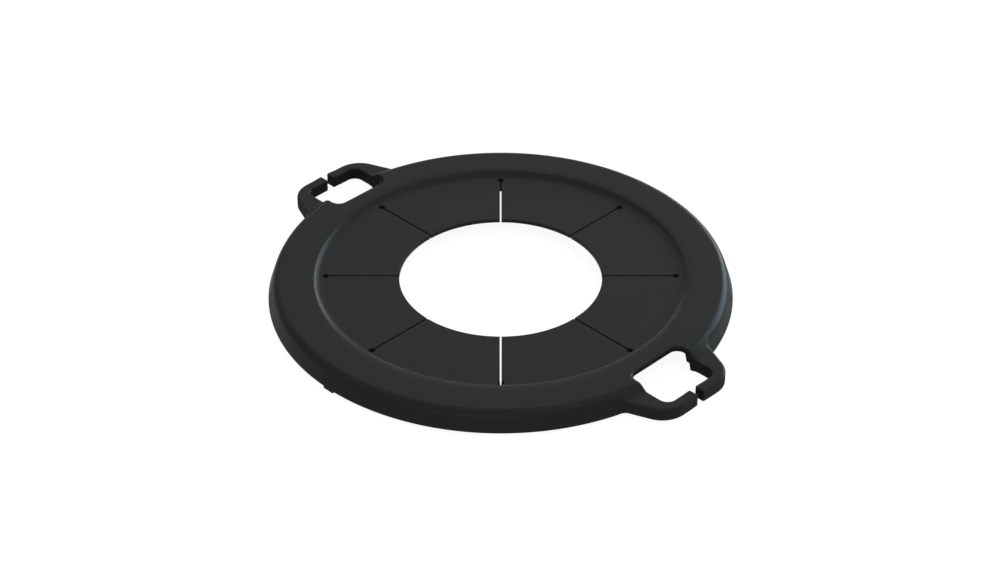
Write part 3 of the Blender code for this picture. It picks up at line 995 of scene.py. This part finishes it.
def painted_shade_in_openings():
    """Painted shade on the walls of the openings: their rubber is coloured a deeper black, a little unevenly.
    """
    group, into, out = new_group("painted shade in openings", {"Amount": OPENING_SHADE}, ("Keep",))
    shade_depth = uneven_mark(group, "tucked_away", OPENING_SHADE_PATCHES, OPENING_SHADE_LEAST, into.outputs["Amount"])
    group.links.new(work_out(group, "SUBTRACT", 1.0, shade_depth), out.inputs["Keep"])
    return group


def drawn_wall():
    """The loops' side walls, which drag along the mould as it opens: they come out more matt than the top."""
    group, into, out = new_group("drawn wall", {"Amount": WALL_MATT}, ("Matt",))
    matt = uneven_mark(group, "loop_wall", WALL_PATCHES, WALL_LEAST, into.outputs["Amount"])
    group.links.new(matt, out.inputs["Matt"])
    return group


skin = moulded_skin()
rub = edge_rub()
opening_shade_group = painted_shade_in_openings()
walls = drawn_wall()


def with_group(tree, group, **amounts):
    """A group put to use, with its amounts."""
    made = node(tree, "ShaderNodeGroup", node_tree=group)
    for label, amount in amounts.items():
        made.inputs[label].default_value = amount
    return made.outputs


def times_colour(tree, factor):
    """A Mix node that multiplies the colour put into its A by a value."""
    made = node(tree, "ShaderNodeMix", data_type="RGBA", blend_type="MULTIPLY")
    made.inputs["Factor"].default_value = 1.0
    tree.links.new(factor, made.inputs["B"])
    return made


def rubber(name, matt, grain, cloud, rub_amount):
    """Satin black moulded rubber."""
    material = bpy.data.materials.new(name)
    material.use_nodes = True
    tree = material.node_tree
    shader = tree.nodes["Principled BSDF"]
    surface = with_group(tree, skin, Grain=grain, Cloud=cloud)
    worn = with_group(tree, rub, Amount=rub_amount)
    opening_shade = with_group(tree, opening_shade_group, Amount=OPENING_SHADE)
    drawn = with_group(tree, walls, Amount=WALL_MATT)

    tinted = times_colour(tree, surface["Tone"])
    tinted.inputs["A"].default_value = (*RUBBER_COLOUR, 1)
    paler = node(tree, "ShaderNodeMix", data_type="RGBA")
    paler.inputs["B"].default_value = (*RUBBED_COLOUR, 1)
    tree.links.new(worn["Rub"], paler.inputs["Factor"])
    tree.links.new(tinted.outputs["Result"], paler.inputs["A"])
    # Painted shade: the walls that face into openings are coloured darker
    shaded_colour = times_colour(tree, opening_shade["Keep"])
    tree.links.new(paler.outputs["Result"], shaded_colour.inputs["A"])
    tree.links.new(shaded_colour.outputs["Result"], shader.inputs["Base Color"])

    rough = work_out(tree, "ADD", surface["Matt"], matt)
    smoothed = work_out(tree, "SUBTRACT", rough, work_out(tree, "MULTIPLY", worn["Rub"], RUB_POLISH))
    dull = work_out(tree, "MULTIPLY", work_out(tree, "SUBTRACT", 1.0, opening_shade["Keep"]), OPENING_SHADE_MATT)
    dull = work_out(tree, "ADD", dull, drawn["Matt"])
    tree.links.new(work_out(tree, "ADD", smoothed, dull), shader.inputs["Roughness"])

    bump = node(tree, "ShaderNodeBump")
    bump.inputs["Strength"].default_value = GRAIN_STRENGTH
    bump.inputs["Distance"].default_value = GRAIN_DEPTH
    tree.links.new(surface["Height"], bump.inputs["Height"])
    tree.links.new(bump.outputs["Normal"], shader.inputs["Normal"])

    facing = node(tree, "ShaderNodeLayerWeight").outputs["Facing"]
    shine = spread(tree, facing, *SHINE_FADE, RUBBER_SPECULAR, RUBBER_GRAZING)
    tree.links.new(shine, shader.inputs["Specular IOR Level"])
    return material


rubbers = {slot: rubber(slot, *finish) for slot, finish in RUBBERS.items()}


# Pieces


def make_piece(name, moulding, place, slot):
    """A finished mesh object, in metres."""
    mesh = bpy.data.meshes.new(name)
    points = [tuple(c * MM for c in place(point)) for point in moulding.points]
    mesh.from_pydata(points, [], moulding.faces)
    builder = bmesh.new()
    builder.from_mesh(mesh)
    bmesh.ops.remove_doubles(builder, verts=builder.verts, dist=MERGE)
    bmesh.ops.dissolve_degenerate(builder, edges=builder.edges, dist=MERGE)
    loose = [vert for vert in builder.verts if not vert.link_faces]
    bmesh.ops.delete(builder, geom=loose, context="VERTS")
    bmesh.ops.recalc_face_normals(builder, faces=builder.faces)
    builder.to_mesh(mesh)
    builder.normal_update()
    # The tucked_away mark says where the painted shade of the openings goes
    tucked = [tucked_share(vert) for vert in builder.verts]
    side_walls = [wall_share(vert) * (1 - share) for vert, share in zip(builder.verts, tucked)]
    builder.free()
    mesh.attributes.new("tucked_away", "FLOAT", "POINT").data.foreach_set("value", tucked)
    mesh.attributes.new("loop_wall", "FLOAT", "POINT").data.foreach_set("value", side_walls)
    mesh.shade_smooth()
    mesh.set_sharp_from_angle(angle=SHARP)
    mesh.materials.append(rubbers[slot])
    piece = bpy.data.objects.new(name, mesh)
    bpy.context.scene.collection.objects.link(piece)
    return piece


rim_piece = make_piece("collar_rim", whole_rim(), as_is, "rim_rubber")
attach(rim_piece, "rim")
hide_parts("rim")

foot = foot_plate()
for foot_name, turn in (("front_foot", 0), ("rear_foot", pi)):
    foot_piece = make_piece(foot_name, foot, swung(turn), "rim_rubber")
    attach(foot_piece, "rim")

flap = flap_plate()
for number in range(FLAP_COUNT):
    turn = flap_half * (2 * number + 1)
    body = f"flap_{number + 1}"
    flap_piece = make_piece(f"membrane_{body}", flap, swung(turn), "flap_rubber")
    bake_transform(flap_piece)
    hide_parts(body)

arm = arm_plate()
for end_name, across in (("right", 1), ("left", -1)):
    for side_name, along in (("front", -1), ("rear", 1)):
        body = f"{end_name}_loop_{side_name}_arm"
        arm_piece = make_piece(f"{end_name}_{side_name}_hook", arm, mirrored(across, along), "loop_rubber")
        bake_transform(arm_piece)
        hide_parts(body)


# Floor, camera and light


def make_floor():
    """A plain white floor: it shows as white paper, with only a trace of the collar's shadow."""
    builder = bmesh.new()
    bmesh.ops.create_grid(builder, x_segments=1, y_segments=1, size=FLOOR_HALF)
    mesh = bpy.data.meshes.new("floor")
    builder.to_mesh(mesh)
    builder.free()
    floor = bpy.data.objects.new("floor", mesh)
    floor.location.z = -FLOOR_DROP
    bpy.context.scene.collection.objects.link(floor)
    material = bpy.data.materials.new("white_floor")
    material.use_nodes = True
    tree = material.node_tree
    tree.nodes.remove(tree.nodes["Principled BSDF"])
    out = tree.nodes["Material Output"]
    paper = node(tree, "ShaderNodeBsdfDiffuse")
    paper.inputs["Color"].default_value = FLOOR_PAPER
    thin = node(tree, "ShaderNodeBsdfDiffuse")
    thin.inputs["Color"].default_value = FLOOR_SEEN
    glow = node(tree, "ShaderNodeEmission")
    glow.inputs["Strength"].default_value = FLOOR_GLOW
    seen = node(tree, "ShaderNodeAddShader")
    tree.links.new(thin.outputs[0], seen.inputs[0])
    tree.links.new(glow.outputs[0], seen.inputs[1])
    path = node(tree, "ShaderNodeLightPath")
    reflected = work_out(tree, "ADD", path.outputs["Is Glossy Ray"], path.outputs["Is Transmission Ray"])
    looked_at = work_out(tree, "MAXIMUM", path.outputs["Is Camera Ray"], reflected)
    pick = node(tree, "ShaderNodeMixShader")
    tree.links.new(looked_at, pick.inputs[0])
    tree.links.new(paper.outputs[0], pick.inputs[1])
    tree.links.new(seen.outputs[0], pick.inputs[2])
    tree.links.new(pick.outputs[0], out.inputs["Surface"])
    mesh.materials.append(material)


def way_to(azimuth, elevation):
    """The way from the collar to the camera or a lamp, so far round from the front and so far up."""
    return Vector((sin(azimuth) * cos(elevation), -cos(azimuth) * cos(elevation), sin(elevation)))


def make_camera():
    """The camera, aimed at the middle of the pipe hole on the membrane's top."""
    data = bpy.data.cameras.new("camera")
    data.sensor_width = CAMERA_SENSOR
    data.lens = CAMERA_LENS
    data.shift_x, data.shift_y = CAMERA_SHIFT
    data.clip_start = CAMERA_NEAR
    camera = bpy.data.objects.new("camera", data)
    way = way_to(CAMERA_AZIMUTH, CAMERA_ELEVATION)
    camera.location = Vector((0, 0, FLAP_TOP * MM)) + way * CAMERA_DISTANCE
    camera.rotation_euler = way.to_track_quat("Z", "Y").to_euler()
    bpy.context.scene.collection.objects.link(camera)
    bpy.context.scene.camera = camera


def make_world():
    """Even light from all round."""
    world = bpy.data.worlds.new("studio")
    world.use_nodes = True
    sky = world.node_tree.nodes["Background"]
    sky.inputs["Color"].default_value = STUDIO_COLOUR
    sky.inputs["Strength"].default_value = STUDIO_STRENGTH
    bpy.context.scene.world = world


def make_lamp(name, azimuth, elevation, size, power, colour):
    """A soft box aimed at the collar."""
    data = bpy.data.lights.new(name, "AREA")
    data.shape = "RECTANGLE"
    data.size, data.size_y = size
    data.energy = power
    data.color = colour
    lamp = bpy.data.objects.new(name, data)
    way = way_to(CAMERA_AZIMUTH + radians(azimuth), radians(elevation))
    lamp.location = way * LAMP_DISTANCE
    lamp.rotation_euler = way.to_track_quat("Z", "Y").to_euler()
    bpy.context.scene.collection.objects.link(lamp)


make_floor()
make_camera()
make_world()
for lamp_name, lamp_settings in LAMPS.items():
    make_lamp(lamp_name, *lamp_settings)
bpy.context.scene.view_settings.view_transform = "Standard"
